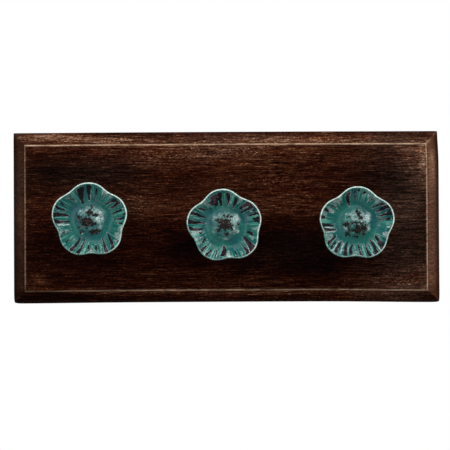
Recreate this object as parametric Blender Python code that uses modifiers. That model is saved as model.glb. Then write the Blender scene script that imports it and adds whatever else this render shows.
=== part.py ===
"""A wall hook board: a moulded hardwood board that carries three ceramic flower knobs.

The parts are laid out on a bench, face up: X to the right, Y up the wall and Z out from the wall, with the
board's back at z = 0. They are parented to the empty wall_frame, which stands the bench upright. In the
world the board's back lies on the plane y = 0, its face looks along -Y, and +Z is up. The origin is on the
back, midway between the seats of the two keyhole plates.

Each knob is a ceramic flower with a threaded stud cemented into its stem. The stud runs through a turned
metal base and the board, and a washer and nut in a counterbore draw the three together. Two keyhole plates,
let into the back, hang the board on two wall screws.
"""

from math import atan2, cos, pi, radians, sin, sqrt

import bmesh
import bpy

MM = 0.001

# Board
BOARD_WIDTH = 254.0 * MM
BOARD_HEIGHT = 101.6 * MM
BOARD_THICKNESS = 16.0 * MM
MOULDING_WIDTH = 8.0 * MM  # from the board's side to the arris of its raised field
OVOLO_RADIUS = 7.0 * MM
STEP_DEPTH = 1.2 * MM  # the field stands this far above the ovolo
SEAT_BELOW_TOP = 24.0 * MM  # from the board's top edge down to the keyhole seats
BOARD_CENTRE_Y = SEAT_BELOW_TOP - BOARD_HEIGHT / 2

# Knobs: where the holes were drilled by hand, as (x, y) from an even row, and how far each flower is turned
KNOB_SPACING = 76.2 * MM
KNOB_ROW_Y = BOARD_CENTRE_Y - 4.2 * MM
KNOBS = {
    "left": (-KNOB_SPACING - 1.4 * MM, KNOB_ROW_Y + 2.1 * MM, radians(2)),
    "centre": (-1.0 * MM, KNOB_ROW_Y - 1.6 * MM, radians(7)),
    "right": (KNOB_SPACING - 2.2 * MM, KNOB_ROW_Y - 0.6 * MM, radians(-2)),
}
GAP = 0.3 * MM  # between pieces that bear on each other

# Fastening of a knob, for an M4 stud
STUD_RADIUS = 2.0 * MM
STUD_CHAMFER = 0.35 * MM
STUD_HOLE_RADIUS = 2.4 * MM
COUNTERBORE_RADIUS = 7.5 * MM
COUNTERBORE_DEPTH = 7.5 * MM
WASHER_RADIUS = 6.0 * MM
WASHER_THICKNESS = 0.8 * MM
NUT_ACROSS_FLATS = 7.0 * MM
NUT_THICKNESS = 3.2 * MM
NUT_BORE_RADIUS = 2.15 * MM
STUD_BEYOND_NUT = 1.5 * MM

# Turned metal base of a knob, from the board outwards
BASE_HEIGHT = 9.0 * MM
BASE_FLANGE_RADIUS = 11.4 * MM
BASE_WAIST_RADIUS = 8.0 * MM
BASE_LIP_RADIUS = 8.8 * MM
BASE_CUP_RADIUS = 7.1 * MM
BASE_CUP_DEPTH = 3.0 * MM

# Ceramic flower: five lobes on a trumpet with a domed boss. Its section is (radius, height above the stem's end)
PETALS = 5
FLOWER_STEPS = 50
SOCKET_DEPTH = 13.4 * MM
STUD_IN_SOCKET = 13.0 * MM
LOBE_DEPTH = 0.055  # how far the lobes and notches leave the mean radius, as a share of it
SCOOP_DEPTH = 0.6 * MM  # how far each petal's middle dips and each fold between petals rises
LOBE_START, LOBE_FULL = 8.0 * MM, 19.0 * MM
FLOWER_FACE = [(0, 26.9), (2.8, 26.5), (5.6, 25.1), (7.6, 23.2), (9.2, 21.9), (11.2, 21.7), (14.0, 23.6)]
FLOWER_FACE += [(17.0, 26.3), (19.2, 28.8), (20.2, 29.4)]
FLOWER_BACK = [(20.2, 29.4), (20.7, 28.6), (20.0, 27.0), (17.4, 23.2), (13.2, 18.4), (9.2, 13.4), (6.9, 8.8)]
FLOWER_BACK += [(6.3, 4.6), (6.8, 0.6), (6.2, 0)]

# Keyhole plates. Heights along Y are from the seat, where the wall screw's shank rests
PLATE_SPACING = 203.2 * MM
PLATE_WIDTH = 16.0 * MM
PLATE_LENGTH = 44.0 * MM
PLATE_THICKNESS = 1.5 * MM
PLATE_CENTRE_Y = -4.5 * MM
KEYHOLE_SLOT_RADIUS = 2.5 * MM
KEYHOLE_ENTRY_RADIUS = 4.8 * MM
KEYHOLE_ENTRY_Y = -10.0 * MM
HEAD_POCKET_RADIUS = 5.5 * MM
HEAD_POCKET_DEPTH = 8.0 * MM
PLATE_SCREW_OFFSET = 16.0 * MM

# Countersunk wood screws of the plates
SCREW_LENGTH = 12.0 * MM
SCREW_HEAD_RADIUS = 2.9 * MM
SCREW_SHANK_RADIUS = 1.45 * MM
SCREW_POINT_LENGTH = 2.5 * MM
SCREW_POINT_RADIUS = 0.3 * MM
SCREW_RECESS_WIDTH = 0.7 * MM
SCREW_RECESS_SPAN = 3.2 * MM
SCREW_RECESS_DEPTH = 0.8 * MM

ROUND_STEPS = 32
FINE_STEPS = 48
MERGE = 0.00001
CUTTER_OVERRUN = 1.0 * MM  # how far a cutter runs past the surface it enters through

WOOD = ("dark_walnut_stain", (0.045, 0.018, 0.009), 0.5, 0.0)
CERAMIC = ("turquoise_glaze", (0.045, 0.165, 0.15), 0.25, 0.0)
BRASS = ("antique_brass", (0.35, 0.23, 0.09), 0.35, 1.0)
STEEL = ("zinc_plated_steel", (0.55, 0.56, 0.57), 0.35, 1.0)


def clear_scene():
    for obj in list(bpy.data.objects):
        bpy.data.objects.remove(obj, do_unlink=True)


def make_collection(name):
    collection = bpy.data.collections.new(name)
    bpy.context.scene.collection.children.link(collection)
    return collection


def material(name, colour, roughness, metallic):
    """The named material, made on its first use."""
    made = bpy.data.materials.get(name)
    if made is None:
        made = bpy.data.materials.new(name)
        made.use_nodes = True
        shader = made.node_tree.nodes["Principled BSDF"]
        shader.inputs["Base Color"].default_value = (*colour, 1.0)
        shader.inputs["Roughness"].default_value = roughness
        shader.inputs["Metallic"].default_value = metallic
        made.diffuse_color = (*colour, 1.0)
    return made


def place(obj, collection, location=(0, 0, 0), turn=0.0):
    """Moves obj to the collection and puts it on the bench, turned about the way out from the wall."""
    for old in list(obj.users_collection):
        old.objects.unlink(obj)
    collection.objects.link(obj)
    obj.parent = bpy.data.objects["wall_frame"]
    obj.location = location
    obj.rotation_euler = (0, 0, turn)
    return obj


def add_mesh(name, mesh, collection, finish=None, location=(0, 0, 0), turn=0.0):
    """A new object of mesh on the bench. finish is one of the materials named above."""
    if finish and not mesh.materials:
        mesh.materials.append(material(*finish))
    return place(bpy.data.objects.new(name, mesh), collection, location, turn)


def smooth(obj, angle=radians(35)):
    obj.data.shade_smooth()
    obj.data.set_sharp_from_angle(angle=angle)
    return obj


def block(name, collection, size, centre):
    """A box from a cube primitive, with its scale applied."""
    bpy.ops.mesh.primitive_cube_add(size=1)
    obj = bpy.context.object
    obj.name = name
    obj.scale = size
    bpy.ops.object.transform_apply(location=False, rotation=False, scale=True)
    return place(obj, collection, centre)


def cylinder(name, collection, radius, bottom, top, x=0.0, y=0.0, steps=ROUND_STEPS):
    """A cylinder primitive standing on the bench between two heights."""
    bpy.ops.mesh.primitive_cylinder_add(vertices=steps, radius=radius, depth=top - bottom)
    obj = bpy.context.object
    obj.name = name
    return place(obj, collection, (x, y, (bottom + top) / 2))


def turned_mesh(name, profile, closed, steps):
    """A mesh turned about Z from (radius, height) points that run down the outer side."""
    mesh = bpy.data.meshes.new(name)
    count = len(profile)
    edges = [(i, i + 1) for i in range(count - 1)]
    if closed:
        edges.append((count - 1, 0))
    mesh.from_pydata([(radius, 0, height) for radius, height in profile], edges, [])
    lathe = bpy.data.objects.new(name + "_lathe", mesh)
    bpy.context.scene.collection.objects.link(lathe)
    screw = lathe.modifiers.new("turn", "SCREW")
    screw.steps = screw.render_steps = steps
    screw.use_merge_vertices = True
    screw.merge_threshold = MERGE
    bpy.context.view_layer.update()
    graph = bpy.context.evaluated_depsgraph_get()
    turned = bpy.data.meshes.new_from_object(lathe.evaluated_get(graph))
    turned.name = name
    bpy.data.objects.remove(lathe)
    return turned


def arc(centre_x, centre_y, radius, start, end, steps):
    """Points along an arc, from one angle to another, both ends included."""
    angles = [start + (end - start) * i / steps for i in range(steps + 1)]
    return [(centre_x + radius * cos(a), centre_y + radius * sin(a)) for a in angles]


def stadium(radius, bottom, top):
    """The outline of a round-ended slot whose end centres are at two heights on the Y axis."""
    steps = ROUND_STEPS // 2
    return arc(0, top, radius, 0, pi, steps) + arc(0, bottom, radius, pi, 2 * pi, steps)


def keyhole():
    """The outline of the slot from its seat at y = 0 down to its round entry."""
    steps = ROUND_STEPS // 2
    meet = sqrt(KEYHOLE_ENTRY_RADIUS**2 - KEYHOLE_SLOT_RADIUS**2)
    half = atan2(KEYHOLE_SLOT_RADIUS, meet)
    slot_end = arc(0, 0, KEYHOLE_SLOT_RADIUS, 0, pi, steps)
    entry = arc(0, KEYHOLE_ENTRY_Y, KEYHOLE_ENTRY_RADIUS, pi / 2 + half, 2.5 * pi - half, ROUND_STEPS)
    return slot_end + entry


def flat_prism(name, collection, outlines, bottom, top, x=0.0, y=0.0):
    """A mesh object from flat outlines, the second and later ones being holes, between two heights."""
    curve = bpy.data.curves.new(name, "CURVE")
    curve.dimensions = "2D"
    curve.fill_mode = "BOTH"
    curve.extrude = (top - bottom) / 2
    for outline in outlines:
        spline = curve.splines.new("POLY")
        spline.points.add(len(outline) - 1)
        for point, (px, py) in zip(spline.points, outline):
            point.co = (px, py, 0, 1)
        spline.use_cyclic_u = True
    sketch = bpy.data.objects.new(name + "_sketch", curve)
    bpy.context.scene.collection.objects.link(sketch)
    bpy.context.view_layer.update()
    graph = bpy.context.evaluated_depsgraph_get()
    mesh = bpy.data.meshes.new_from_object(sketch.evaluated_get(graph))
    weld_and_face_out(mesh)
    bpy.data.objects.remove(sketch)
    return place(bpy.data.objects.new(name, mesh), collection, (x, y, (bottom + top) / 2))


def weld_and_face_out(mesh):
    """Welds a curve's loose caps to its sides."""
    bm = bmesh.new()
    bm.from_mesh(mesh)
    bmesh.ops.remove_doubles(bm, verts=bm.verts, dist=MERGE)
    bmesh.ops.recalc_face_normals(bm, faces=bm.faces)
    bm.to_mesh(mesh)
    bm.free()


def boolean(obj, operation, other):
    """Adds a Boolean with other, which becomes a hidden wire helper."""
    modifier = obj.modifiers.new(f"{operation.lower()}_{other.name}", "BOOLEAN")
    modifier.operation = operation
    modifier.object = other
    modifier.solver = "EXACT"
    other.hide_render = True
    other.display_type = "WIRE"


def smooth_through(points, steps):
    """Points on a Catmull-Rom curve through points given in millimetres, in metres."""
    ends = [points[0], *points, points[-1]]
    found = []
    for i in range(1, len(ends) - 2):
        for step in range(steps):
            t = step / steps
            found.append(tuple(catmull_rom([p[k] for p in ends[i - 1 : i + 3]], t) * MM for k in (0, 1)))
    found.append((points[-1][0] * MM, points[-1][1] * MM))
    return found


def catmull_rom(values, t):
    a, b, c, d = values
    return 0.5 * (2 * b + (c - a) * t + (2 * a - 5 * b + 4 * c - d) * t**2 + (3 * b - a - 3 * c + d) * t**3)


def ease(value, low, high):
    """0 below low, 1 above high, and a smooth step between them."""
    t = min(max((value - low) / (high - low), 0.0), 1.0)
    return t * t * (3 - 2 * t)


def make_board(parts, cutters):
    """The board: a body with an ovolo on its front edges, a raised field, and the holes in its back."""
    body_top = BOARD_THICKNESS - STEP_DEPTH
    size = (BOARD_WIDTH, BOARD_HEIGHT, body_top)
    board = block("backboard", parts, size, (0, BOARD_CENTRE_Y, body_top / 2))
    board.data.materials.append(material(*WOOD))
    weigh_front_edges(board.data)
    ovolo = board.modifiers.new("ovolo", "BEVEL")
    ovolo.limit_method = "WEIGHT"
    ovolo.width = OVOLO_RADIUS
    ovolo.segments = 8
    field_size = (BOARD_WIDTH - 2 * MOULDING_WIDTH, BOARD_HEIGHT - 2 * MOULDING_WIDTH, BOARD_THICKNESS / 2)
    field = block("raised_field", cutters, field_size, (0, BOARD_CENTRE_Y, BOARD_THICKNESS * 0.75))
    boolean(board, "UNION", field)
    for side, (x, y, _) in KNOBS.items():
        through = (-CUTTER_OVERRUN, BOARD_THICKNESS + CUTTER_OVERRUN, x, y)
        sunk = (-CUTTER_OVERRUN, COUNTERBORE_DEPTH, x, y)
        boolean(board, "DIFFERENCE", cylinder(f"bore_{side}", cutters, STUD_HOLE_RADIUS, *through))
        counterbore = cylinder(f"counterbore_{side}", cutters, COUNTERBORE_RADIUS, *sunk, FINE_STEPS)
        boolean(board, "DIFFERENCE", counterbore)
    for side, x in (("left", -PLATE_SPACING / 2), ("right", PLATE_SPACING / 2)):
        cut_plate_seat(board, cutters, side, x)
    return board


def weigh_front_edges(mesh):
    """Gives full bevel weight to the four edges round the box's front face."""
    bm = bmesh.new()
    bm.from_mesh(mesh)
    weight = bm.edges.layers.float.new("bevel_weight_edge")
    for edge in bm.edges:
        edge[weight] = 1.0 if all(v.co.z > 0 for v in edge.verts) else 0.0
    bm.to_mesh(mesh)
    bm.free()


def cut_plate_seat(board, cutters, side, x):
    """The mortise of one keyhole plate, the pocket for the wall screw's head, and the pilot holes."""
    half = PLATE_WIDTH / 2
    reach = PLATE_LENGTH / 2 - half
    outline = stadium(half + GAP, PLATE_CENTRE_Y - reach, PLATE_CENTRE_Y + reach)
    depth = PLATE_THICKNESS + 2 * GAP
    boolean(board, "DIFFERENCE", flat_prism(f"mortise_{side}", cutters, [outline], -CUTTER_OVERRUN, depth, x))
    pocket = stadium(HEAD_POCKET_RADIUS, KEYHOLE_ENTRY_Y, 0)
    pocket_solid = flat_prism(f"pocket_{side}", cutters, [pocket], -CUTTER_OVERRUN, HEAD_POCKET_DEPTH, x)
    boolean(board, "DIFFERENCE", pocket_solid)
    for place_name, y in screw_rows():
        drill = (SCREW_SHANK_RADIUS + GAP, -CUTTER_OVERRUN, SCREW_LENGTH + 2 * GAP, x, y)
        boolean(board, "DIFFERENCE", cylinder(f"pilot_{side}_{place_name}", cutters, *drill, 16))


def screw_rows():
    return (("upper", PLATE_CENTRE_Y + PLATE_SCREW_OFFSET), ("lower", PLATE_CENTRE_Y - PLATE_SCREW_OFFSET))


def flower_mesh():
    """The ceramic flower, with one lobe pointing up and the stud's socket in its stem."""
    face = smooth_through(FLOWER_FACE, 2)
    back = smooth_through(FLOWER_BACK, 1)[1:]
    socket = [(STUD_HOLE_RADIUS, 0), (STUD_HOLE_RADIUS, SOCKET_DEPTH), (0, SOCKET_DEPTH)]
    mesh = turned_mesh("flower_knob", face + back + socket, False, FLOWER_STEPS)
    for vertex in mesh.vertices:
        x, y, z = vertex.co
        radius = sqrt(x * x + y * y)
        share = ease(radius, LOBE_START, LOBE_FULL)
        lobe = cos(PETALS * (atan2(y, x) - pi / 2)) * share
        vertex.co = (x * (1 + LOBE_DEPTH * lobe), y * (1 + LOBE_DEPTH * lobe), z - SCOOP_DEPTH * lobe)
    return mesh


def base_mesh():
    """The turned metal base: a flange on the board, a waist, and a cup that takes the flower's stem."""
    height = BASE_HEIGHT
    cup_floor = height - BASE_CUP_DEPTH
    profile = [
        (BASE_CUP_RADIUS, height),
        (BASE_LIP_RADIUS - 0.5 * MM, height),
        *arc(BASE_LIP_RADIUS - 0.5 * MM, height - 1.0 * MM, 0.5 * MM, pi / 4, -pi / 4, 2),
        *arc(BASE_WAIST_RADIUS + 1.8 * MM, 4.6 * MM, 1.8 * MM, pi * 0.75, pi * 1.4, 5),
        (BASE_FLANGE_RADIUS - 0.6 * MM, 2.2 * MM),
        (BASE_FLANGE_RADIUS, 1.4 * MM),
        (BASE_FLANGE_RADIUS, 0.4 * MM),
        (BASE_FLANGE_RADIUS - 0.4 * MM, 0),
        (STUD_HOLE_RADIUS, 0),
        (STUD_HOLE_RADIUS, cup_floor),
        (BASE_CUP_RADIUS, cup_floor),
    ]
    return turned_mesh("knob_base", profile, True, 40)


def washer_mesh():
    inner, outer, thick = NUT_BORE_RADIUS, WASHER_RADIUS, WASHER_THICKNESS
    return turned_mesh("washer", [(inner, thick), (outer, thick), (outer, 0), (inner, 0)], True, ROUND_STEPS)


def make_nut(name, parts, cutters, x, y, bottom):
    """A hexagon with its corners chamfered on both faces, and a plain bore in place of the thread."""
    top = bottom + NUT_THICKNESS
    corner = NUT_ACROSS_FLATS / sqrt(3)
    nut = cylinder(name, parts, corner, bottom, top, x, y, 6)
    nut.data.materials.append(material(*STEEL))
    flat = NUT_ACROSS_FLATS / 2
    fall = (corner - flat) * 0.6
    rounded = [(0, NUT_THICKNESS), (flat, NUT_THICKNESS), (corner, NUT_THICKNESS - fall), (corner, fall)]
    rounded += [(flat, 0), (0, 0)]
    chamfer_mesh = turned_mesh(name + "_chamfer", rounded, False, ROUND_STEPS)
    boolean(nut, "INTERSECT", add_mesh(name + "_chamfer", chamfer_mesh, cutters, None, (x, y, bottom)))
    bore = (bottom - CUTTER_OVERRUN, top + CUTTER_OVERRUN, x, y, 24)
    boolean(nut, "DIFFERENCE", cylinder(name + "_bore", cutters, NUT_BORE_RADIUS, *bore))
    return nut


def make_stud(name, parts, x, y, bottom, top):
    """A threaded stud, drawn plain at its outer diameter, with chamfered ends."""
    stud = cylinder(name, parts, STUD_RADIUS, bottom, top, x, y, 24)
    stud.data.materials.append(material(*STEEL))
    chamfer = stud.modifiers.new("chamfer", "BEVEL")
    chamfer.limit_method = "ANGLE"
    chamfer.angle_limit = radians(60)
    chamfer.width = STUD_CHAMFER
    chamfer.segments = 1
    return smooth(stud)


def make_knobs(parts, cutters):
    """The three knobs, each from the counterbore's floor outwards, and from it back to the nut."""
    flower, base, washer = flower_mesh(), base_mesh(), washer_mesh()
    base_bottom = BOARD_THICKNESS + GAP
    stem_end = base_bottom + BASE_HEIGHT - BASE_CUP_DEPTH + GAP
    washer_bottom = COUNTERBORE_DEPTH - GAP - WASHER_THICKNESS
    nut_bottom = washer_bottom - GAP - NUT_THICKNESS
    for side, (x, y, turn) in KNOBS.items():
        smooth(add_mesh(f"flower_knob_{side}", flower, parts, CERAMIC, (x, y, stem_end), turn))
        smooth(add_mesh(f"knob_base_{side}", base, parts, BRASS, (x, y, base_bottom)))
        smooth(add_mesh(f"knob_washer_{side}", washer, parts, STEEL, (x, y, washer_bottom)))
        make_nut(f"knob_nut_{side}", parts, cutters, x, y, nut_bottom)
        make_stud(f"knob_stud_{side}", parts, x, y, nut_bottom - STUD_BEYOND_NUT, stem_end + STUD_IN_SOCKET)


def screw_hole(name, cutters, x, y):
    """The cutter of a plate's screw hole, which widens to a countersink at the back."""
    head, shank = SCREW_HEAD_RADIUS + GAP, SCREW_SHANK_RADIUS + GAP
    top = PLATE_THICKNESS + CUTTER_OVERRUN
    shape = [(0, top), (shank, top), (shank, head - shank)]
    shape += [(head + CUTTER_OVERRUN, -CUTTER_OVERRUN), (0, -CUTTER_OVERRUN)]
    return add_mesh(name, turned_mesh(name, shape, False, 24), cutters, None, (x, y, GAP))


def make_plate(side, x, parts, cutters):
    """A keyhole plate with its slot and two countersunk holes, just under the board's back."""
    half = PLATE_WIDTH / 2
    reach = PLATE_LENGTH / 2 - half
    outline = stadium(half, PLATE_CENTRE_Y - reach, PLATE_CENTRE_Y + reach)
    plate = flat_prism(f"keyhole_plate_{side}", parts, [outline, keyhole()], GAP, GAP + PLATE_THICKNESS, x)
    plate.data.materials.append(material(*STEEL))
    for row, y in screw_rows():
        boolean(plate, "DIFFERENCE", screw_hole(f"hole_{side}_{row}", cutters, x, y))
    return plate


def screw_mesh():
    """A countersunk wood screw, its head's face at z = 0 and its point outwards, thread left plain."""
    head, shank, point = SCREW_HEAD_RADIUS, SCREW_SHANK_RADIUS, SCREW_POINT_RADIUS
    shoulder = SCREW_LENGTH - SCREW_POINT_LENGTH
    profile = [(0, SCREW_LENGTH), (point, SCREW_LENGTH - point), (shank, shoulder), (shank, head - shank)]
    profile += [(head, 0), (0, 0)]
    return turned_mesh("plate_screw", profile, False, 24)


def make_screws(x, side, parts, cutters):
    """The two screws of one plate, with a cross recess in each head."""
    mesh = screw_mesh()
    for row, y in screw_rows():
        location = (x, y, GAP)
        screw = smooth(add_mesh(f"plate_screw_{side}_{row}", mesh, parts, STEEL, location))
        for across in (0, 1):
            size = [SCREW_RECESS_SPAN, SCREW_RECESS_WIDTH, 2 * SCREW_RECESS_DEPTH]
            if across:
                size[0], size[1] = size[1], size[0]
            boolean(screw, "DIFFERENCE", block(f"recess_{side}_{row}_{across}", cutters, size, location))


def make_hook_board():
    clear_scene()
    frame = bpy.data.objects.new("wall_frame", None)
    bpy.context.scene.collection.objects.link(frame)
    frame.rotation_euler = (pi / 2, 0, 0)
    parts, cutters = make_collection("wall_hook_board"), make_collection("cutters")
    make_board(parts, cutters)
    make_knobs(parts, cutters)
    for side, x in (("left", -PLATE_SPACING / 2), ("right", PLATE_SPACING / 2)):
        make_plate(side, x, parts, cutters)
        make_screws(x, side, parts, cutters)
    bpy.context.view_layer.update()


make_hook_board()
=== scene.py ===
"""The looks of a wall hook board: a worn, dark-stained board with three glazed ceramic flower knobs.

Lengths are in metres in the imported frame: +X right, +Z up the wall, and -Y out from the wall, towards the
viewer. Tables of shapes and wear are in millimetres, and each says from where they are measured.
"""

from math import cos, pi, radians, sin, sqrt

import bmesh
import bpy
import numpy as np
from mathutils import Matrix, Vector

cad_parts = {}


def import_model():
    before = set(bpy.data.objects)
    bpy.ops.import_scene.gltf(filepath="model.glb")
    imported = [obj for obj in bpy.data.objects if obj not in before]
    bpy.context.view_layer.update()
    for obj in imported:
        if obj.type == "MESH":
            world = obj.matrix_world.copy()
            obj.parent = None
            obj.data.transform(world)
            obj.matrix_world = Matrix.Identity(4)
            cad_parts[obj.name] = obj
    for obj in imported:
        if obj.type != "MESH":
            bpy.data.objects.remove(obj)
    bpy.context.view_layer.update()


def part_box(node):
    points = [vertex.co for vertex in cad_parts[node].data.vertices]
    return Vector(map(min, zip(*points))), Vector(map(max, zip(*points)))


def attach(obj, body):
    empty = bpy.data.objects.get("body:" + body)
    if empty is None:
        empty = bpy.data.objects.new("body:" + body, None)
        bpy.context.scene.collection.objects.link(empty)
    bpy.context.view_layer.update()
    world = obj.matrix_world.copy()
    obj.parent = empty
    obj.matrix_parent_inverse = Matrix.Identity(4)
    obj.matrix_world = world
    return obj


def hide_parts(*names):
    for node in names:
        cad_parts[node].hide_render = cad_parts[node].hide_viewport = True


MM = 0.001
SIDES = ("left", "centre", "right")

# -------- the board's shape, in millimetres

OVOLO_RADIUS = 7.0
OVOLO_TOP = 14.8  # above the board's back
# From the ovolo's top up the step to the field, as (distance in from the board's side, height)
ARRIS_SECTION = ((7.35, 14.8), (7.62, 14.78), (7.78, 14.88), (7.88, 15.3), (7.96, 15.72), (8.1, 15.93))
ARRIS_SECTION += ((8.35, 16.0), (8.8, 16.0), (9.6, 16.0))
OVOLO_POINTS = 15
MOULDING_CELLS = OVOLO_POINTS + len(ARRIS_SECTION) - 1
ARRIS_AT = 8.0  # the field's edge, in from the board's side
SIDE_HEIGHTS = (0.0, 0.5, 3.0, 5.5)
FIELD_STEPS = (124, 96)
# How each corner has aged, seen from the front: (right or left, up or down, how far it is rounded off, its
# drift sideways, along how much of the side, its drift upwards, along how much of the edge)
CORNERS = (
    (-1, -1, 0.7, 0, 1, -0.42, 50),
    (1, -1, 0.6, 0.05, 12, -0.82, 45),
    (-1, 1, 0.1, 0, 1, -0.15, 50),
    (1, 1, 0.15, -0.75, 11, -0.15, 60),
)
CORNER_REACH = 1.3
DRIFT_FADE = (60, 30)  # over how much of the width and the height a drift fades

# Holes in the board's back, the same as the CAD board's. Round ones are corners, as (radius, y).
STUD_HOLE = ((7.5, -7.5), (2.4, -7.5), (2.4, -20))
PILOT_HOLE = ((1.75, -12.6),)
RECESS_GAP, RECESS_DEPTH = 0.3, 2.1
POCKET_LOW, POCKET_HIGH, POCKET_RADIUS, POCKET_DEPTH = -10, 0, 5.5, 8
CUTTER_START = 2  # clear of the board's back
BOARD_SHARP_FROM = 42  # degrees

# -------- the board's wear

# The stain's tone runs from 0, nearly black, to 1, bare wood. Patches are (x, z, half-width, half-height,
# amount), in millimetres from the board's centre and hundredths.
FIELD_TONE = 0.246
# Stain patches; the dark patches below the knobs are partly stain and partly painted shadow of the knobs
STAIN_AND_SHADOW_PATCHES = (
    (0, 42, 150, 7, 16), (-8, 37, 46, 7, 22), (10, 22, 60, 11, 10), (-96, 25, 32, 6, -16),
    (-105, 29, 9, 8, -11), (-62, 27, 12, 4, -9), (0, 5, 140, 6.5, 15), (-50, 7, 16, 8, 8),
    (112, 30, 8, 16, 26), (108, 39, 8, 4, 10), (84, 23, 20, 6, -12), (92, -3, 18, 10, 12),
    (108, -3, 8, 6, 10), (100, -33, 32, 7, 14), (-116, -41, 4, 4, 18), (117, 34, 3, 13, 18),
    (-114, 41.5, 8, 2.5, 16), (117.5, 36, 2.5, 14, 14), (117, -40, 3, 4, 18), (96, -31, 16, 4, -8),
    (-47, 34, 6, 4, 7), (25, -26, 4, 6, 13), (19, -36, 4, 4, 9), (102, -40, 18, 3, 14),
    (-110, -38, 6, 6, 22), (-106, -12, 10, 6, -10), (26, -15, 52, 9, -39), (-88, -20, 42, 13, -18),
    (-72, -28, 18, 4, -11), (44, -29, 40, 7, -30), (6, -30, 8, 5, -15), (60, -31, 22, 6, -12),
    (-25, -19, 13, 8, -36), (40, -5, 15, 5, -10), (-44, 31, 13, 6, 10), (-26, 21, 12, 5, -10),
    (20, -39, 30, 3, 8), (-81, 37, 8, 4, 12), (8, 38, 8, 3, -9), (100, 20, 11, 5, -9), (-94, 13, 8, 5, 10),
    (57, -20, 7, 5, -14), (-19, -27, 7, 4, -8), (32, -26, 9, 4, 12), (54, -27, 7, 4, 8),
    (-31, 12, 7, 5, -6), (-94, -33, 9, 9, 3), (106, -40, 8, 3, 8), (44, -4, 9, 5, -6),
)
# Greyer stain, in the same terms
GREY_PATCHES = (
    (106, 0, 24, 70, 90), (-84, 25, 34, 9, 75), (36, -20, 34, 10, 60), (-6, 38, 16, 5, 35),
    (-60, 4, 12, 8, 35), (-124, 0, 4, 70, 90), (0, 47, 60, 3, 35),
)
# Rubbed, speckled places, in the same terms
WORN_PATCHES = (
    (-5, 40, 34, 3.5, 60), (-24, 35.2, 17, 1.4, 70), (-60, 37.5, 22, 1.4, 40), (20, 37.8, 22, 1.4, 50),
    (114, 36, 7, 7, 70), (104, -37, 17, 6, 50), (-113, -39, 8, 4, 40), (-52, 10, 6, 12, 55),
    (-22, 20, 6, 10, 55), (24, 22, 16, 10, 55), (-46, 33, 8, 4, 60), (0, -40.5, 70, 1.2, 30),
)
# The mouldings' tone at three places across them, from the board's side in to the field
MOULDING_ACROSS = (0.9, 3.4, 6.4)
MOULDING_TONE = {
    "left": (0.29, 0.42, 0.45),
    "right": (0.42, 0.65, 0.68),
    "top": (0.34, 0.48, 0.55),
    "bottom": (0.14, 0.12, 0.43),
}
MOULDING_PATCHES = (
    (-106, 48.4, 20, 2.6, 34), (-70, 45.9, 18, 2.2, 22), (-70, 49.6, 16, 1.6, -10), (-42, 46, 18, 5, -8),
    (26, 45.4, 24, 1.8, 16), (60, 45.6, 20, 2.4, 12), (100, 46, 18, 6, -6), (123, 30, 3, 15, 18),
    (-123, -32, 5, 16, -10), (-97, -46.5, 24, 3.5, -12), (-106, -44.5, 22, 2.6, -30),
    (-108, 44, 12, 1.5, -20), (120, -45, 7, 4, -16), (122, 44, 3, 5, -12), (-123, 1, 4, 7, 8),
    (125.6, 32, 1.6, 16, -10), (96, -48.5, 36, 2.2, 20), (-10, -48, 14, 1.5, 14), (22, -45, 26, 1.6, 12),
    (120, 44, 2.2, 2.2, 20),
)
MITRE_LIGHT = 0.14  # how much lighter the upper right mitre is
# How rubbed each moulding is, and how much quieter its grain is than the field's
MOULDING_WORN = {"left": 0.1, "right": 0.05, "top": 0.35, "bottom": 0.3}
MOULDING_CALM = {"left": 0.55, "right": 0.6, "top": 0.0, "bottom": 0.0}
# The bare line on the arris: where it runs, how wide and how strong it is, and where it is duller
ARRIS_LINE, ARRIS_WIDTH = 8.1, 0.36
ARRIS_STRENGTH = {"left": 0.5, "right": 1.0, "top": 1.0, "bottom": 0.66}
ARRIS_PATCHES = (
    (-108, -43, 26, 4, -50), (-70, -43, 14, 4, -14), (119, 20, 3, 12, -15), (-119, 25, 3, 20, -5),
)
# How far the arris lies outside its place, in millimetres
ARRIS_SHIFT = {"left": 0.45, "top": 0.15, "bottom": 0.8}
FOOT_AT, FOOT_WIDTH, FOOT_STAIN_AND_SHADE = 7.5, 0.28, 0.05  # the dark line where the ovolo meets the step: stain settled in the crease, and painted shade there
SIDE_PAINT = (0.3, 0.2, 0.0)  # tone, wear and bare edge on the board's sides
BACK_BARE = 0.5  # bare edge round the board's back

# -------- the flowers' shape, in millimetres

# A flower's section from the boss out to the rim and back to the stem, as (radius, height)
FACE = ((0, 26.9), (2.8, 26.5), (5.6, 25.3), (7.8, 23.8), (9.9, 22.7), (12.2, 22.6), (14.6, 23.9))
FACE += ((17.0, 26.2), (19.2, 28.8), (20.0, 29.45))
BACK = ((20.0, 29.45), (20.6, 29.1), (20.7, 28.4), (20.0, 27.0), (17.4, 23.2), (13.2, 18.4), (9.2, 13.4))
BACK += ((6.9, 8.8), (6.3, 4.6), (6.8, 0.6), (6.2, 0.0))
SOCKET = ((2.4, 0.0), (2.4, 13.4), (0.0, 13.4))
FACE_STEPS, BACK_STEPS, AROUND = 10, 4, 320
RIM_RADIUS = 20.6
PETALS = 5
LOBE_DEPTH = 0.058
NOTCH_SHARPNESS = 0.15
LOBE_START, LOBE_FULL = 8.0, 19.0
SCOOP_DEPTH = 0.6
FOLD_RISE = 0.35
GROOVE_DEPTH = 0.32
MARK_DEPTH = 0.15
BOSS_BUMPS = 70

# Each flower's turn in degrees, how far it is from round, which way it is longest in degrees, and its size
FLOWERS = {"left": (20, 0.016, 155, 1.0), "centre": (25, 0.026, 165, 0.984), "right": (16, 0.022, 19, 0.99)}

# -------- the flowers' glaze

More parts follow.
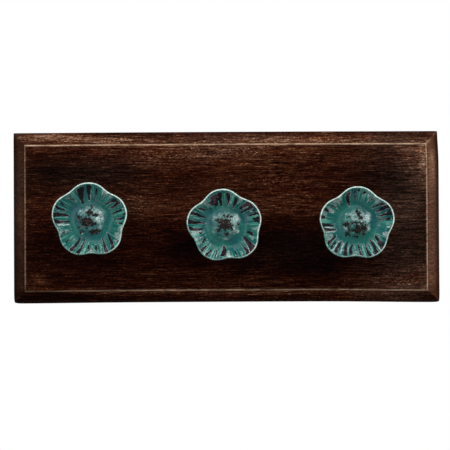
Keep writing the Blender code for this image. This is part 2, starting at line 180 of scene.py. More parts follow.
# Dark streaks in the petals' grooves: (angle and radius of the outer end, then of the inner end, width,
# strength). Angles are in degrees from the right, widths in degrees, radii in hundredths of the rim's, and
# strengths in hundredths.
STREAKS = {
    "left": (
        (107, 92, 115, 50, 8.5, 100), (91.5, 93, 95, 53, 5.5, 90), (77, 90, 80, 55, 3, 55),
        (61, 88, 62, 68, 3, 50), (69, 84, 70, 72, 2, 30), (37, 93, 46, 60, 4.5, 95),
        (30.5, 93, 31, 63, 4.5, 85), (18, 88, 16, 61, 3, 75), (10, 97, 9, 86, 3, 60),
        (3, 93, 1, 62, 3.4, 80), (-6, 93, -7, 68, 3, 50), (-52, 97, -39, 55, 4.2, 95),
        (-63, 98, -59, 58, 4.5, 90), (-40, 92, -39, 80, 2.5, 50), (-77.5, 93, -79, 70, 4, 60),
        (-92, 94, -94, 70, 4.5, 60), (-110, 98, -107, 53, 4, 95), (-122, 97, -119, 54, 4.5, 90),
        (-138, 90, -137, 76, 3, 50), (-154, 90, -156, 76, 3, 45), (-178, 96, -175, 57, 4.5, 100),
        (171, 97, 168, 60, 5, 95), (158.5, 95, 160, 70, 3.5, 60), (150, 90, 152, 72, 2.5, 40),
        (136, 90, 130, 74, 3, 50),
    ),
    "centre": (
        (110, 90, 112, 58, 10, 100), (121, 82, 119, 64, 7, 80), (99.5, 91, 99, 54, 5.5, 95),
        (82, 92, 82, 55, 5, 90), (67, 90, 65, 54, 5, 90), (91, 95, 91, 88, 2.5, 50),
        (42, 95, 48, 64, 7, 95), (35, 94, 38, 56, 4.5, 85), (20, 98, 23, 66, 3.5, 80),
        (12, 98, 14, 76, 4.5, 60), (4.5, 99, 10, 80, 3.5, 85), (28, 95, 30, 70, 3, 50),
        (-17, 84, -15, 64, 5, 80), (-41, 98, -31, 58, 8, 100), (-50, 99, -48, 76, 5.5, 85),
        (-68, 96, -68, 74, 3, 50), (-59, 95, -58, 80, 3, 35), (-92, 92, -92, 56, 9, 70),
        (-107, 94, -108, 68, 3, 60), (-122, 98, -120, 74, 4, 70), (-133, 96, -133, 74, 4.5, 80),
        (-143, 82, -147, 62, 4, 70), (-164, 76, -164, 64, 4, 60), (-175, 97, -171, 57, 4.5, 95),
        (173, 97, 172.5, 52, 4.5, 95), (159, 96, 156.5, 55, 4, 95), (146, 89, 139, 68, 4.5, 75),
        (128, 66, 129, 58, 4, 60),
    ),
    "right": (
        (105.5, 90, 111, 50, 6.5, 100), (92.5, 90, 93, 68, 3, 40), (86, 93, 86, 84, 4, 50),
        (75, 92, 76, 82, 5, 50), (57.5, 88, 58, 76, 3.5, 60), (36, 93, 44, 62, 4, 90),
        (28, 97, 30, 61, 5, 100), (21.5, 97, 20, 82, 2.5, 60), (15.5, 95, 18.5, 59, 4, 75),
        (8, 90, 8.5, 57, 2.8, 80), (9, 99, 8, 93, 4, 50), (-5, 98, -7, 84, 4, 40),
        (-44, 98, -33, 62, 7, 95), (-56.5, 99, -49, 56, 4.5, 95), (-69.5, 99, -66, 60, 3.4, 80),
        (-83, 96, -84, 55, 3.4, 80), (-102, 92, -101, 57, 4, 80), (-111, 96, -115, 55, 4.5, 85),
        (-127, 96, -129, 60, 4.5, 85), (-137, 95, -138, 72, 3.5, 60), (-145, 95, -148, 62, 4.5, 85),
        (-170.5, 97, -162, 56, 4.5, 95), (-178.5, 97, -174, 60, 4.5, 90), (169.5, 97, 169, 84, 5, 75),
        (156, 95, 156, 80, 5.5, 70), (145, 87, 140.5, 70, 3, 60), (126.5, 82, 126.5, 66, 3, 35),
    ),
}
STREAK_SPREAD = 1.7  # how wide the streaks are beside their widths above
STRAY_STREAKS = 60
# Pale, frosted places between the streaks, and painted highlights along the ridges beside them, in the same
# terms
FROST_AND_HIGHLIGHTS = {
    "left": (
        (-171.5, 93, -168.5, 60, 3, 95), (-157, 94, -153, 66, 12, 45), (127, 95, 128, 62, 16, 35),
        (63, 97, 62, 80, 10, 60), (84.5, 95, 87, 66, 3, 35), (-15, 98, -17, 84, 10, 55),
        (-30, 97, -30, 76, 12, 60), (47, 97, 50, 80, 7, 50), (-103, 98, -101, 80, 6, 55),
        (-86, 97, -86, 72, 8, 40), (-69, 97, -68, 70, 4, 45), (163, 93, 165, 72, 3, 40),
        (24, 95, 24, 66, 3, 40),
    ),
    "centre": (
        (-168, 96, -168, 66, 8, 70), (-156, 95, -154, 70, 10, 50), (130, 97, 131, 70, 9, 50),
        (58, 97, 59, 74, 7, 55), (-4, 98, -6, 78, 8, 55), (-24, 88, -24, 72, 5, 60),
        (-83, 98, -82, 74, 7, 60), (-100, 97, -100, 80, 4, 30), (-145, 97, -147, 72, 6, 50),
        (-115, 97, -114, 66, 4, 50), (-127, 97, -127, 62, 3, 50), (75, 93, 75, 62, 4, 35),
        (-34, 92, -42, 62, 3, 50), (166, 95, 165, 60, 3, 35),
    ),
    "right": (
        (129, 97, 128, 72, 14, 65), (151, 91, 153, 66, 7, 65), (138, 93, 139, 72, 6, 60),
        (165, 97, 163, 82, 7, 55), (-174.5, 92, -168, 60, 2.6, 90), (-166, 94, -158, 60, 3.2, 85),
        (-154, 96, -153, 70, 12, 60), (-132, 96, -134, 62, 2.6, 70), (-119, 94, -122, 60, 3.4, 65),
        (-106.5, 95, -108, 62, 2.6, 55), (-92.5, 97, -93, 62, 6, 45), (-76, 98, -75, 64, 5, 45),
        (-63, 98, -57, 62, 2.2, 60), (-49, 95, -44, 62, 2, 75), (-21, 97, -23, 80, 9, 60),
        (45, 97, 46, 80, 9, 55), (65, 97, 64, 82, 9, 50),
    ),
}
# Dark marks on the boss: (x, z, half-width, half-height, strength), in millimetres from its middle and
# hundredths
BOSS_MARKS = {
    "left": (
        (-1.9, -1, 4, 3, 100), (-0.6, 4, 2.2, 2.5, 90), (0.4, 7.4, 0.7, 1.4, 90), (-6.6, 1.7, 1.2, 0.9, 95),
        (1.9, -6.6, 2.8, 1.4, 100), (-5.1, -6.6, 1.1, 1, 95), (2.8, 2.8, 2.2, 1.2, 80),
        (1.6, -2.5, 2.4, 1.2, 95), (4.8, -6.3, 0.9, 0.7, 90), (-6.4, -3.8, 1, 0.8, 70),
        (-1.6, -4.6, 1.6, 0.7, 70),
    ),
    "centre": (
        (-0.1, 0.9, 4.2, 3.8, 100), (-0.4, 5.5, 1.2, 1, 100), (1.9, 5.7, 0.9, 1, 95),
        (3.6, 5.2, 0.8, 1.2, 90), (-4.4, 3.4, 1.2, 0.9, 85), (1, -4.9, 1.2, 1.1, 100),
        (-3.2, -2.7, 1.6, 1.3, 85), (4, -1.7, 1.1, 1, 95), (7.6, 1.1, 0.9, 0.9, 95),
        (0, -2.6, 1.4, 0.9, 90),
    ),
    "right": (
        (0.4, 6.8, 1, 1, 95), (1.3, 5, 1.5, 1.9, 95), (2.4, 3.2, 1.2, 1.4, 80), (-4.4, 3.6, 1, 0.7, 90),
        (-5.3, -0.4, 2.3, 1.4, 95), (0.6, -3.6, 2.6, 2.9, 100), (4.1, -2.7, 2, 2.6, 100),
        (-0.6, 0.4, 3.2, 1, 85), (-4.1, -3.2, 1, 1.8, 85), (-2.2, -3.9, 1.8, 0.8, 85),
        (0, -7.6, 1.9, 0.8, 85), (-4.7, -6.1, 1.9, 1.1, 85), (4.2, -5.9, 1.1, 1, 90),
        (3.4, 0.2, 1.2, 1.2, 70),
    ),
}
# Milky places on the boss, and painted highlights at its upper right, in the same terms
BOSS_MILK_AND_HIGHLIGHTS = {
    "left": (
        (5.1, 4.5, 1, 1, 100), (6.8, 0.7, 1, 0.9, 100), (4.4, 0.6, 1.8, 1.9, 90), (-1.9, 5.6, 0.9, 0.9, 70),
        (-5.4, 4.6, 2.2, 2, 55), (5.6, -4, 1, 1.4, 60), (-4.7, -3.4, 2, 1.6, 35),
        (-4.7, -7.6, 0.8, 0.6, 70), (0.6, -4.6, 2.6, 0.8, 40),
    ),
    "centre": (
        (6.4, 3.2, 1.9, 3.2, 100), (7, -3.2, 1.2, 1, 90), (5.2, -1.3, 0.8, 0.9, 90),
        (-5.6, 4.4, 2, 2.4, 50), (-5.8, -2, 2, 3, 35), (0.4, -7.4, 2.6, 1, 45), (0.4, 7.2, 2.4, 0.8, 45),
    ),
    "right": (
        (6.4, 3.2, 1.9, 2.8, 100), (7.2, -3, 1.1, 1.4, 75), (3.2, 0.8, 0.8, 0.7, 80),
        (-0.6, 6.8, 0.6, 0.8, 70), (-4.6, 5.4, 1.8, 1.4, 45), (-6, -2.8, 1.6, 2, 45),
        (2.2, 4.4, 0.5, 0.7, 80), (-2.6, -1.4, 0.9, 0.9, 25),
    ),
}

# -------- hardware, in millimetres

# The ferrule's outline from its cup down to the flange and back through its bore, as (radius, height)
FERRULE = ((7.1, 9), (8.2, 9), (8.6, 8.85), (8.8, 8.5), (8.8, 8), (8.6, 7.65), (8.15, 7.5), (8.05, 7.3))
FERRULE += ((8.4, 7.05), (8.4, 6.75), (8.05, 6.5), (7.9, 6), (7.85, 5.2), (7.95, 4.6), (8.3, 3.9))
FERRULE += ((8.9, 3.3), (9.6, 2.9), (9.9, 2.75), (9.95, 2.5), (10.5, 2.35), (11, 2), (11.3, 1.6))
FERRULE += ((11.4, 1.1), (11.4, 0.4), (11.2, 0.1), (11, 0), (2.4, 0), (2.4, 6), (7.1, 6))
STUD_RADIUS, THREAD_PITCH, THREAD_DEPTH, THREAD_CHAMFER = 2.0, 0.7, 0.3, 0.35
THREAD_AROUND, THREAD_LEVELS = 24, 6  # points round the thread, and rings in each pitch
WASHER_BEVEL, PLATE_BEVEL = 0.12, 0.15

# -------- stage, in metres

CAMERA_DISTANCE = 0.86
SENSOR_WIDTH = 36.0
FRAME_WIDTH = 0.2664  # what the picture spans at the board's front
CAMERA_TILT = radians(0.62)
CAMERA_ROLL = radians(0.3)
AIM_OFFSET = (-0.0009, -0.0050)  # from the board's middle, sideways and upwards
# Soft lights, as (name, place, width and height, power, colour)
LIGHTS = (
    ("key", (0.04, -0.66, 0.9), (1.8, 1.0), 16, (1.0, 0.98, 0.96)),
    ("side", (0.66, -0.68, 0.6), (0.24, 0.24), 5, (0.96, 0.98, 1.0)),
    ("fill", (-0.75, -1.0, 0.0), (0.9, 0.9), 7, (0.96, 0.98, 1.0)),
)
FLOOR_DROP = 0.5
FLOOR_CORNERS = ((-2, -2, 0), (2, -2, 0), (2, 1.2, 0), (-2, 1.2, 0))

# -------- colours

WOOD_RAMP = (
    (0.0, (0.0013, 0.0002, 0.0001)),
    (0.2, (0.0039, 0.0005, 0.0002)),
    (0.32, (0.0078, 0.0011, 0.0004)),
    (0.44, (0.015, 0.003, 0.0011)),
    (0.56, (0.029, 0.0079, 0.0033)),
    (0.68, (0.055, 0.018, 0.008)),
    (0.8, (0.104, 0.043, 0.0215)),
    (0.92, (0.199, 0.105, 0.06)),
    (1.0, (0.308, 0.2, 0.142)),
)
GREY_WOOD_RAMP = tuple((at, (r * 0.97, max(g, r * 0.5), max(b, r * 0.34))) for at, (r, g, b) in WOOD_RAMP)
EMBER_TINT = (1.08, 0.84, 0.68)
# Pairs are the colours at a noise's low and high ends
BARE_WOOD = ((0.32, 0.2, 0.125), (0.55, 0.38, 0.26))
GLAZE_BODY = ((0.004, 0.057, 0.066), (0.005, 0.086, 0.070))
GLAZE_CLOUD = (0.008, 0.105, 0.091)
GLAZE_RIB = (0.075, 0.275, 0.22)
GLAZE_GRIT = (0.006, 0.04, 0.042)
GLAZE_FROST_AND_HIGHLIGHT = (0.40, 0.46, 0.45)
INK = ((0.002, 0.001, 0.0018), (0.036, 0.021, 0.029))
INK_CORE = (0.1, 0.06, 0.078)
FLAKES = (0.30, 0.36, 0.36)
MINT = ((0.33, 0.41, 0.37), (0.59, 0.65, 0.59))
# Milky glaze, which also paints the boss's highlights
MILK_AND_HIGHLIGHT = ((0.1, 0.195, 0.18), (0.42, 0.52, 0.51))
SOOT = ((0.002, 0.0015, 0.0015), (0.055, 0.034, 0.026))
# Pale specks in the boss's dark crust, partly painted glints
SOOT_SPECKS_AND_GLINTS = (0.2, 0.16, 0.13)
BRASS = ((0.46, 0.31, 0.12), (0.085, 0.052, 0.022))
ZINC = ((0.60, 0.61, 0.63), (0.42, 0.43, 0.44))
ZINC_SPOTS = (0.2, 0.19, 0.17)
FLOOR = ((0.78, 0.78, 0.77), (0.84, 0.84, 0.83))
FILL_LIGHT, FILL_STRENGTH = (0.95, 0.97, 1.0, 1), 0.2


# -------- node materials


class Shader:
    """Builds one node material. A socket that it sets takes a number, a colour or another socket."""

    def __init__(self, name):
        self.material = bpy.data.materials.new(name)
        self.material.use_nodes = True
        self.tree = self.material.node_tree
        self.surface = self.tree.nodes["Principled BSDF"]
        self.object = self.add("ShaderNodeTexCoord").outputs["Object"]

    def add(self, kind, **settings):
        node = self.tree.nodes.new(kind)
        for name, value in settings.items():
            setattr(node, name, value)
        return node

    def put(self, socket, value):
        if isinstance(value, bpy.types.NodeSocket):
            self.tree.links.new(value, socket)
        elif isinstance(value, tuple) and socket.type == "RGBA":
            socket.default_value = (*value, 1.0)
        else:
            socket.default_value = value

    def join(self, node, *values):
        """Sets a node's first inputs, and gives its first output."""
        for socket, value in zip(node.inputs, values):
            self.put(socket, value)
        return node.outputs[0]

    def math(self, operation, a, b):
        return self.join(self.add("ShaderNodeMath", operation=operation), a, b)

    def plus(self, a, b):
        return self.math("ADD", a, b)

    def times(self, a, b):
        return self.math("MULTIPLY", a, b)

    def shaken(self, value, noise, amount):
        """value, raised and lowered by a noise about its middle."""
        return self.plus(value, self.times(self.math("SUBTRACT", noise, 0.5), amount))

    def vector(self, operation, a, b):
        return self.join(self.add("ShaderNodeVectorMath", operation=operation), a, b)

    def stretch(self, scale, offset, source=None):
        """Texture coordinates: the object's own, or source, times scale, plus offset."""
        node = self.add("ShaderNodeMapping")
        node.inputs["Scale"].default_value = scale if isinstance(scale, tuple) else (scale,) * 3
        node.inputs["Location"].default_value = offset
        return self.join(node, source or self.object)

    def turn(self, angles):
        """The object's own coordinates, turned."""
        node = self.add("ShaderNodeMapping")
        node.inputs["Rotation"].default_value = angles
        return self.join(node, self.object)

    def noise(self, scale, detail, roughness, offset=(0, 0, 0), source=None):
        """Noise over stretched texture coordinates."""
        return self.noise_at(self.stretch(scale, offset, source), detail, roughness)

    def noise_at(self, at, detail, roughness):
        node = self.add("ShaderNodeTexNoise")
        self.put(node.inputs["Vector"], at)
        node.inputs["Scale"].default_value = 1.0
        node.inputs["Detail"].default_value = detail
        node.inputs["Roughness"].default_value = roughness
        return node.outputs["Fac"]

    def span(self, value, low, high, to_low=0.0, to_high=1.0):
        """value from low to high becomes to_low to to_high, with a smooth step, and stops there."""
        node = self.add("ShaderNodeMapRange", interpolation_type="SMOOTHSTEP")
        return self.join(node, value, low, high, to_low, to_high)

    def ramp(self, value, stops):
        """A colour for value from (place, colour) stops."""
        node = self.add("ShaderNodeValToRGB")
        spots = node.color_ramp.elements
        while len(spots) < len(stops):
            spots.new(0.5)
        for spot, (place, colour) in zip(spots, stops):
            spot.position = place
            spot.color = (*colour, 1.0)
        return self.join(node, value)

    def mix(self, share, a, b, blend="MIX"):
        node = self.add("ShaderNodeMix", data_type="RGBA", blend_type=blend)
        self.put(node.inputs[0], share)
        self.put(node.inputs[6], a)
        self.put(node.inputs[7], b)
        return node.outputs[2]

    def attribute(self, name, output="Fac"):
        return self.add("ShaderNodeAttribute", attribute_name=name).outputs[output]

    def paint(self):
        """The three channels of the mesh's paint."""
        node = self.add("ShaderNodeSeparateColor")
        self.put(node.inputs[0], self.attribute("paint", "Color"))
        return node.outputs

    def bump(self, height, strength, distance, normal=None):
        node = self.add("ShaderNodeBump")
        node.inputs["Strength"].default_value = strength
        node.inputs["Distance"].default_value = distance
        self.put(node.inputs["Height"], height)
        if normal:
            self.put(node.inputs["Normal"], normal)
        return node.outputs[0]

    def finish(self, colour, roughness, normal=None, **constants):
        """Connects the surface. constants are the shader's sockets, with spaces written as underscores."""
        self.put(self.surface.inputs["Base Color"], colour)
        self.put(self.surface.inputs["Roughness"], roughness)
        if normal:
            self.put(self.surface.inputs["Normal"], normal)
        for name, value in constants.items():
            self.put(self.surface.inputs[name.replace("_", " ")], value)
        return self.material


def stained_wood():
    """Dark stain over open grain along X. Its tone, wear and bare edges come from the mesh's paint."""
    s = Shader("stained_wood")
    tone, worn, arris = s.paint()
    sway = s.times(s.math("SUBTRACT", s.noise((7, 10, 16), 2, 0.5), 0.5), 0.005)
    warped = s.vector("ADD", s.object, s.vector("MULTIPLY", (0, 1, 1), sway))
    bands = s.noise((6, 150, 240), 3, 0.6, source=warped)
    fibres = s.noise((75, 1100, 1600), 3, 0.65, source=warped)
    threads = s.noise((120, 1900, 2700), 2, 0.6, (3, 1, 7), warped)
    flecks = s.noise((700, 1500, 1900), 2, 0.6, (1, 8, 5), warped)
    speckle = s.noise((700, 1300, 1300), 3, 0.7, (6, 1, 3))
    scratches = s.noise((60, 60, 2300), 2, 0.6, (2, 5, 1), s.turn((0, radians(50), 0)))

    grain = s.span(fibres, 0.44, 0.3, 0.0, -0.3)
    for noise, amount in ((bands, 0.26), (fibres, 0.8), (threads, 1.4), (flecks, 1.1)):
        grain = s.shaken(grain, noise, amount)
    tone = s.plus(tone, s.times(grain, s.math("SUBTRACT", 1.0, s.attribute("calm"))))
    rubbed = s.plus(s.span(speckle, 0.5, 0.66, -0.1, 0.42), s.span(scratches, 0.62, 0.72, 0.0, 0.28))
    tone = s.plus(tone, s.times(worn, rubbed))
    place = s.plus(s.times(tone, 0.8), 0.2)
    colour = s.mix(s.attribute("grey"), s.ramp(place, WOOD_RAMP), s.ramp(place, GREY_WOOD_RAMP))
    ember = s.noise((38, 90, 150), 4, 0.7, (4, 2, 9))
    redder = s.mix(s.span(ember, 0.5, 0.68), (1, 1, 1), EMBER_TINT)
    colour = s.mix(1.0, colour, redder, "MULTIPLY")

    chips = s.noise((160, 400, 400), 3, 0.7, (6, 1, 3))
    edge = s.times(arris, s.span(chips, 0.3, 0.62, 0.35, 1.0))
    colour = s.mix(edge, colour, s.mix(s.span(threads, 0.35, 0.65), *BARE_WOOD))

    relief = s.plus(s.times(fibres, 0.6), s.times(threads, 0.4))
    normal = s.bump(relief, 0.4, 0.0002)
    return s.finish(colour, s.span(fibres, 0.3, 0.7, 0.5, 0.66), normal, Specular_IOR_Level=0.01)


def glaze(side, seed):
    """Turquoise glaze: dark in the grooves, pale on the rim and folds, mottled on the boss, with painted
    highlights on the rim, beside the grooves and on the boss.
    """
    s = Shader(f"turquoise_glaze_{side}")
    streak, pale, milky_and_highlight = s.paint()
    marks = s.attribute("marks")
    offset = (seed * 3.1, seed * 1.7, seed * 2.3)
    around = s.vector("NORMALIZE", s.vector("MULTIPLY", s.object, (1, 0, 1)), (0, 0, 0))
    ribs = s.noise_at(s.vector("ADD", s.stretch(16, offset, around), s.stretch((55, 0, 55), offset)), 3, 0.6)
    cloud = s.noise(160, 4, 0.6, offset)
    grit = s.noise(800, 3, 0.6, offset)
    dots = s.noise(1300, 2, 0.6, offset)
    drift = s.noise(90, 3, 0.6, (offset[1], 0, offset[0]))

    colour = s.mix(s.span(drift, 0.38, 0.62), *GLAZE_BODY)
    colour = s.mix(s.span(cloud, 0.4, 0.68, 0.0, 0.7), colour, GLAZE_CLOUD)
    lit_rib = s.times(s.span(ribs, 0.46, 0.64), s.plus(s.times(s.attribute("petal"), 0.75), 0.1))
    colour = s.mix(lit_rib, colour, GLAZE_RIB)
    colour = s.mix(s.span(grit, 0.58, 0.75, 0.0, 0.3), colour, GLAZE_GRIT)
    # Frosted glaze, and painted highlights beside the grooves
    frost_and_highlight = s.shaken(s.attribute("frost_and_highlight"), grit, 1.3)
    colour = s.mix(s.span(frost_and_highlight, 0.24, 1.05, 0.0, 0.9), colour, GLAZE_FROST_AND_HIGHLIGHT)

    ragged = s.shaken(s.shaken(streak, grit, 0.7), ribs, 0.6)
    inked = s.span(ragged, 0.36, 0.54)
    core = s.times(s.times(s.span(ragged, 0.72, 0.95), s.span(cloud, 0.5, 0.6)), 0.5)
    colour = s.mix(inked, colour, s.mix(core, s.mix(s.span(dots, 0.58, 0.72), *INK), INK_CORE))
    flaking = s.times(s.span(ragged, 0.24, 0.38), s.span(ragged, 0.66, 0.48))
    flaking = s.times(flaking, s.span(cloud, 0.44, 0.58, 0.0, 0.9))
    colour = s.mix(flaking, colour, FLAKES)

    mint = s.mix(s.span(grit, 0.35, 0.65), *MINT)
    colour = s.mix(s.span(s.shaken(pale, grit, 0.5), 0.2, 0.95), colour, mint)
    milk_and_highlight = s.mix(s.span(grit, 0.34, 0.62), *MILK_AND_HIGHLIGHT)
    colour = s.mix(s.span(s.shaken(milky_and_highlight, grit, 0.5), 0.05, 0.95), colour, milk_and_highlight)
    soot = s.shaken(s.shaken(marks, grit, 2.2), dots, 1.0)
    soot = s.times(s.span(soot, 0.38, 0.56), s.span(marks, 0.03, 0.2))
    earth = s.mix(s.span(dots, 0.66, 0.72), s.mix(s.span(dots, 0.54, 0.68), *SOOT), SOOT_SPECKS_AND_GLINTS)
    colour = s.mix(soot, colour, earth)

    roughness = s.plus(s.span(grit, 0.3, 0.75, 0.24, 0.4), s.times(s.math("MAXIMUM", inked, soot), 0.5))
    height = s.plus(s.times(ribs, 0.6), s.times(cloud, 0.5))
    normal = s.bump(height, 0.35, 0.0006, s.bump(grit, 0.3, 0.0003))
    return s.finish(colour, roughness, normal, IOR=1.5, Specular_IOR_Level=0.22)


def antique_brass():
    s = Shader("antique_brass")
    cloud = s.noise(180, 4, 0.65)
    turning = s.noise((90, 5200, 90), 2, 0.5)
    scuff = s.noise(1400, 3, 0.7)
    tarnish = s.span(s.plus(cloud, s.times(scuff, 0.25)), 0.5, 0.75)
    roughness = s.plus(s.span(tarnish, 0, 1, 0.24, 0.5), s.span(scuff, 0.5, 0.8, 0.0, 0.12))
    normal = s.bump(turning, 0.25, 0.00006, s.bump(scuff, 0.2, 0.00008))
    return s.finish(s.mix(tarnish, *BRASS), roughness, normal, Metallic=1.0)


def zinc_steel():
    s = Shader("zinc_steel")
    cloud = s.noise(220, 3, 0.6)
    brushed = s.noise((160, 160, 3600), 2, 0.6)
    spots = s.noise(900, 4, 0.7)
    colour = s.mix(s.span(cloud, 0.35, 0.7), *ZINC)
    colour = s.mix(s.span(spots, 0.62, 0.74, 0.0, 0.6), colour, ZINC_SPOTS)
    roughness = s.plus(s.span(brushed, 0.3, 0.7, 0.24, 0.42), s.span(spots, 0.6, 0.75, 0.0, 0.2))
    return s.finish(colour, roughness, s.bump(brushed, 0.2, 0.00004), Metallic=1.0)


# -------- shape helpers


def ease(value, low, high):
    """0 below low, 1 above high, and a smooth step between them, for numbers and arrays."""
    t = np.clip((np.asarray(value, float) - low) / (high - low), 0.0, 1.0)
    return t * t * (3 - 2 * t)


def bell(away, width):
    """1 where away is 0, falling smoothly to nearly 0 at twice width."""
    return np.exp(-((away / width) ** 2))


def ripple(x, seed, *waves):
    """A smooth repeatable wander about zero: sine waves of the given (wavelength, amplitude)."""
    phase = np.random.default_rng(seed).uniform(0, 2 * pi, len(waves))
    return sum(size * np.sin(2 * pi * x / length + p) for (length, size), p in zip(waves, phase))


def smooth_through(points, steps):
    """Points on a Catmull-Rom curve through the given (radius, height) points."""
    ends = np.array([points[0], *points, points[-1]], float)
    found = []
    for i in range(1, len(ends) - 2):
        a, b, c, d = ends[i - 1 : i + 3]
        for t in np.arange(steps) / steps:
            part = 2 * b + (c - a) * t + (2 * a - 5 * b + 4 * c - d) * t**2 + (3 * b - a - 3 * c + d) * t**3
            found.append(part / 2)
    return np.array([*found, ends[-1]])


def on_axis(node, y=0.0):
    """A place on the line along Y through the middle of a CAD node's box."""
    low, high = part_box(node)
    return Vector(((low.x + high.x) / 2, y, (low.z + high.z) / 2))


# -------- mesh helpers


def add_object(name, data):
    made = bpy.data.objects.new(name, data)
    bpy.context.scene.collection.objects.link(made)
    return made


def make_piece(name, mesh, material, node, sharp_from):
    """A shown piece that stands for a CAD node, with the given material, and hides that node."""
    piece = add_object(name, mesh)
    mesh.materials.clear()
    mesh.materials.append(material)
    shade(mesh, sharp_from)
    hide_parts(node)
    return piece


def shade(mesh, sharp_from):
    """Smooth shading, with edges left sharp from the given angle, in degrees."""
    mesh.shade_smooth()
    mesh.set_sharp_from_angle(angle=radians(sharp_from))


def paint_points(mesh, name, values):
    """Stores each vertex's row of values: one number, or three as a colour."""
    if values.shape[1] == 1:
        kind, field = "FLOAT", "value"
    else:
        kind, field = "FLOAT_COLOR", "color"
        values = np.column_stack([values, np.ones(len(values))])
    mesh.attributes.new(name, kind, "POINT").data.foreach_set(field, values.astype(np.float32).ravel())


def new_mesh(name, points, faces):
    mesh = bpy.data.meshes.new(name)
    mesh.from_pydata([tuple(p) for p in points], [], [tuple(map(int, face)) for face in faces])
    return mesh


def face_outwards(mesh, weld=0.0):
    """Merges points closer together than weld, and turns every face outwards."""
    bm = bmesh.new()
    bm.from_mesh(mesh)
    if weld:
        bmesh.ops.remove_doubles(bm, verts=bm.verts, dist=weld)
    bmesh.ops.recalc_face_normals(bm, faces=bm.faces)
    bm.to_mesh(mesh)
    bm.free()


def rings_mesh(name, rings, weld=0.0, painted=None):
    """A closed mesh from rings of points (ring, around, xyz), and of their paint (ring, around) by its name.

    A ring that is all one place becomes one point.
    """
    count = rings.shape[1]
    single = np.ptp(rings, axis=1).max(axis=1) < 1e-9
    rows = [i * count + np.arange(1 if one else count) for i, one in enumerate(single)]
    kept = np.concatenate(rows)
    index = np.split(np.arange(len(kept)), np.cumsum([len(row) for row in rows])[:-1])
    faces = []
    for low, high in zip(index, index[1:]):
        for i in range(count):
            j = (i + 1) % count
            face = (low[i % len(low)], low[j % len(low)], high[j % len(high)], high[i % len(high)])
            faces.append(dict.fromkeys(face))
    mesh = new_mesh(name, rings.reshape(-1, 3)[kept], faces)
    mesh.validate()
    face_outwards(mesh, weld)
    for paint, values in (painted or {}).items():
        paint_points(mesh, paint, values.reshape(len(rings) * count, -1)[kept])
    return mesh


def turned(name, profile, steps):
    """A mesh turned about the Y axis from (radius, y) points, closed on itself or at the axis."""
    profile = np.asarray(profile, float)
    closed = profile[0, 0] > 0
    if closed:
        profile = np.vstack([profile, profile[:1]])
    angles = np.arange(steps) * 2 * pi / steps
    rings = np.empty((len(profile), steps, 3))
    rings[:, :, 0] = profile[:, :1] * np.cos(angles)
    rings[:, :, 1] = profile[:, 1:2]
    rings[:, :, 2] = profile[:, :1] * np.sin(angles)
    return rings_mesh(name, rings, 1e-6 if closed else 0.0)


# -------- flower knobs


def wave(angle, side):
    """The lobes round the flower: 1 or less at a petal's tip, and under -1 in the sharper notches."""
    phase = PETALS * (angle - radians(FLOWERS[side][0]))
    uneven = ripple(angle, SIDES.index(side) + 31, (2 * pi, 0.10), (2 * pi / 3, 0.10), (2 * pi / 4, 0.08))
    return np.cos(phase) - NOTCH_SHARPNESS * np.cos(2 * phase) + uneven


def degrees_off(angle, middle_angle):
    """How far each angle, in radians, is from a middle in degrees, the shorter way round."""
    return np.abs((np.degrees(angle) - middle_angle + 180) % 360 - 180)


def streak_lines(table, seed, angle, share):
    """How strongly each point is covered by a table's lines, which taper inwards and wander a little."""
    rng = np.random.default_rng(seed)
    cover = np.zeros_like(angle)
    for outer_angle, outer, inner_angle, inner, width, strength in table:
        t = np.clip((100 * share - inner) / (outer - inner), -1, 2)
        wander = ripple(t, rng.integers(1000), (0.9, 0.5), (0.35, 0.35))
        off = degrees_off(angle, inner_angle + (outer_angle - inner_angle) * t + wander)
        half = 0.5 * STREAK_SPREAD * width * (0.5 + 0.5 * np.clip(t, 0, 1))
        across = 1 - ease(off, half * 0.45, half * 1.35)
        within = ease(t, -0.06, 0.12) * (1 - ease(t, 0.93, 1.06))
        cover = np.maximum(cover, strength / 100 * across * within)
    return cover


def streak_cover(side, angle, share):
    """The dark streaks of one flower, and short stray ones between them."""
    cover = streak_lines(STREAKS[side], SIDES.index(side) + 11, angle, share)
    cover = np.where(cover > 0, 0.25 + 0.75 * cover, 0) * ease(cover, 0.0, 0.3)
    rng = np.random.default_rng(SIDES.index(side) + 23)
    for _ in range(STRAY_STREAKS):
        at, inner = rng.uniform(-180, 180), rng.uniform(0.6, 0.85)
        outer, half, strength = inner + rng.uniform(0.06, 0.16), rng.uniform(0.5, 1.1), rng.uniform(0.2, 0.5)
        across = 1 - ease(degrees_off(angle, at), half * 0.3, half * 1.6)
        within = ease(share, inner - 0.02, inner + 0.03) * (1 - ease(share, outer - 0.03, min(outer, 0.95)))
        cover = np.maximum(cover, strength * across * within)
    return cover


def spots(x, z, table):
    """The strongest of the soft spots at each point."""
    found = np.zeros_like(x)
    for px, pz, width, height, strength in table:
        away = ((x - px) / width) ** 2 + ((z - pz) / height) ** 2
        found = np.maximum(found, strength / 100 * np.exp(-0.8 * away**1.3))
    return found


